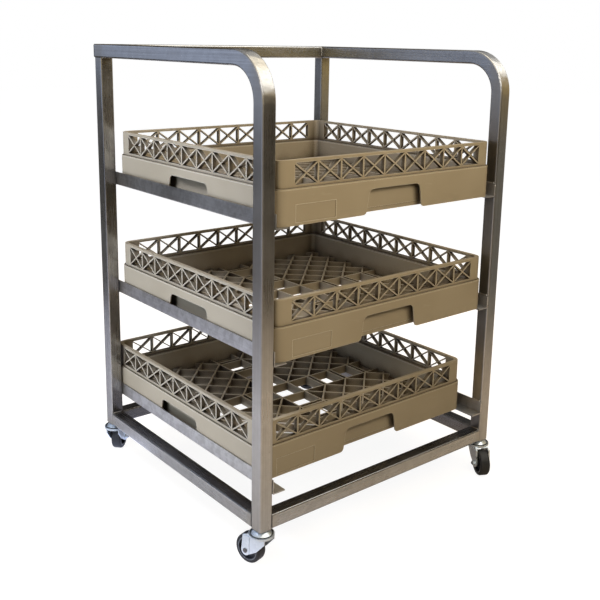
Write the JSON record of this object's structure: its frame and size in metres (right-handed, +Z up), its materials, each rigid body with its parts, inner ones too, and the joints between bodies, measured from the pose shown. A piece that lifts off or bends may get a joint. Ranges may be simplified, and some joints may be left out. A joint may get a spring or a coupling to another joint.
{
  "type": "rack trolley",
  "caption": "Open square-tube trolley on swivel castors, with angle runners that carry tiers of moulded lattice dish racks which slide out.",
  "frame": {"origin": "on the floor under the middle of the trolley", "axes": "+Z up, +Y towards the closed rear with the crossbar, -Y towards the loading front, +X to the right as seen from the front"},
  "size_m": [0.5831, 0.5952, 0.8265],
  "materials": {
    "stainless_tube": "satin stainless steel, brushed along each tube",
    "stainless_angle": "satin stainless steel angle",
    "rack_plastic": "moulded polypropylene, warm beige, fine satin",
    "zinc_plate": "bright zinc plate on pressed steel",
    "bearing_steel": "polished steel balls",
    "dark_fastener": "dark oxide bolt",
    "black_plastic": "black moulded plug",
    "wheel_plastic": "black moulded wheel core",
    "black_rubber": "black rubber tread"
  },
  "bodies": {
    "frame": {"left_hoop": "stainless_tube", "right_hoop": "stainless_tube", "rear_left_post": "stainless_tube", "rear_right_post": "stainless_tube", "rear_crossbar": "stainless_tube", "base_left_rail": "stainless_tube", "base_right_rail": "stainless_tube", "base_front_rail": "stainless_tube", "base_rear_rail": "stainless_tube", "bottom_left_runner": "stainless_angle", "bottom_right_runner": "stainless_angle", "middle_left_runner": "stainless_angle", "middle_right_runner": "stainless_angle", "top_left_runner": "stainless_angle", "top_right_runner": "stainless_angle", "rail_end_caps": "black_plastic", "castor_sockets": "zinc_plate", "castor_stems": "zinc_plate", "castor_cups": "zinc_plate", "swivel_balls": "bearing_steel"},
    "front_left_castor": {"front_left_fork": "zinc_plate", "front_left_axle_bolt": "dark_fastener", "front_left_axle_nut": "zinc_plate", "front_left_wheel_sleeve": "zinc_plate"},
    "front_left_wheel": {"front_left_wheel_core": "wheel_plastic", "front_left_tyre": "black_rubber"},
    "front_right_castor": {"front_right_fork": "zinc_plate", "front_right_axle_bolt": "dark_fastener", "front_right_axle_nut": "zinc_plate", "front_right_wheel_sleeve": "zinc_plate"},
    "front_right_wheel": {"front_right_wheel_core": "wheel_plastic", "front_right_tyre": "black_rubber"},
    "rear_left_castor": {"rear_left_fork": "zinc_plate", "rear_left_axle_bolt": "dark_fastener", "rear_left_axle_nut": "zinc_plate", "rear_left_wheel_sleeve": "zinc_plate"},
    "rear_left_wheel": {"rear_left_wheel_core": "wheel_plastic", "rear_left_tyre": "black_rubber"},
    "rear_right_castor": {"rear_right_fork": "zinc_plate", "rear_right_axle_bolt": "dark_fastener", "rear_right_axle_nut": "zinc_plate", "rear_right_wheel_sleeve": "zinc_plate"},
    "rear_right_wheel": {"rear_right_wheel_core": "wheel_plastic", "rear_right_tyre": "black_rubber"},
    "bottom_rack_unit": {"bottom_rack": "rack_plastic", "bottom_rack_inner_wall": "rack_plastic", "bottom_rack_band": "rack_plastic", "bottom_rack_floor": "rack_plastic"},
    "middle_rack_unit": {"middle_rack": "rack_plastic", "middle_rack_inner_wall": "rack_plastic", "middle_rack_band": "rack_plastic", "middle_rack_floor": "rack_plastic"},
    "top_rack_unit": {"top_rack": "rack_plastic", "top_rack_inner_wall": "rack_plastic", "top_rack_band": "rack_plastic", "top_rack_floor": "rack_plastic"}
  },
  "joints": [
    {"name": "front_left_swivel", "type": "hinge", "parent": "frame", "child": "front_left_castor", "pos_m": [-0.27, -0.2525, 0.0567], "axis": [0, 0, 1], "continuous": true},
    {"name": "front_left_wheel_spin", "type": "hinge", "parent": "front_left_castor", "child": "front_left_wheel", "pos_m": [-0.27544, -0.23067, 0.025], "axis": [-0.9703, -0.2419, 0], "continuous": true},
    {"name": "front_right_swivel", "type": "hinge", "parent": "frame", "child": "front_right_castor", "pos_m": [0.27, -0.2525, 0.0567], "axis": [0, 0, 1], "continuous": true},
    {"name": "front_right_wheel_spin", "type": "hinge", "parent": "front_right_castor", "child": "front_right_wheel", "pos_m": [0.25944, -0.27237, 0.025], "axis": [0.8829, -0.4695, 0], "continuous": true},
    {"name": "rear_left_swivel", "type": "hinge", "parent": "frame", "child": "rear_left_castor", "pos_m": [-0.27, 0.2525, 0.0567], "axis": [0, 0, 1], "continuous": true},
    {"name": "rear_left_wheel_spin", "type": "hinge", "parent": "rear_left_castor", "child": "rear_left_wheel", "pos_m": [-0.25368, 0.26799, 0.025], "axis": [-0.6884, 0.7254, 0], "continuous": true},
    {"name": "rear_right_swivel", "type": "hinge", "parent": "frame", "child": "rear_right_castor", "pos_m": [0.27, 0.2525, 0.0567], "axis": [0, 0, 1], "continuous": true},
    {"name": "rear_right_wheel_spin", "type": "hinge", "parent": "rear_right_castor", "child": "rear_right_wheel", "pos_m": [0.25944, 0.27237, 0.025], "axis": [-0.8829, -0.4695, 0], "continuous": true},
    {"name": "bottom_rack_slide", "type": "slide", "parent": "frame", "child": "bottom_rack_unit", "axis": [0, -1, 0], "range_m": [-0.5, 0.55]},
    {"name": "middle_rack_slide", "type": "slide", "parent": "frame", "child": "middle_rack_unit", "axis": [0, -1, 0], "range_m": [-0.5, 0.55]},
    {"name": "top_rack_slide", "type": "slide", "parent": "frame", "child": "top_rack_unit", "axis": [0, -1, 0], "range_m": [-0.5, 0.55]}
  ]
}
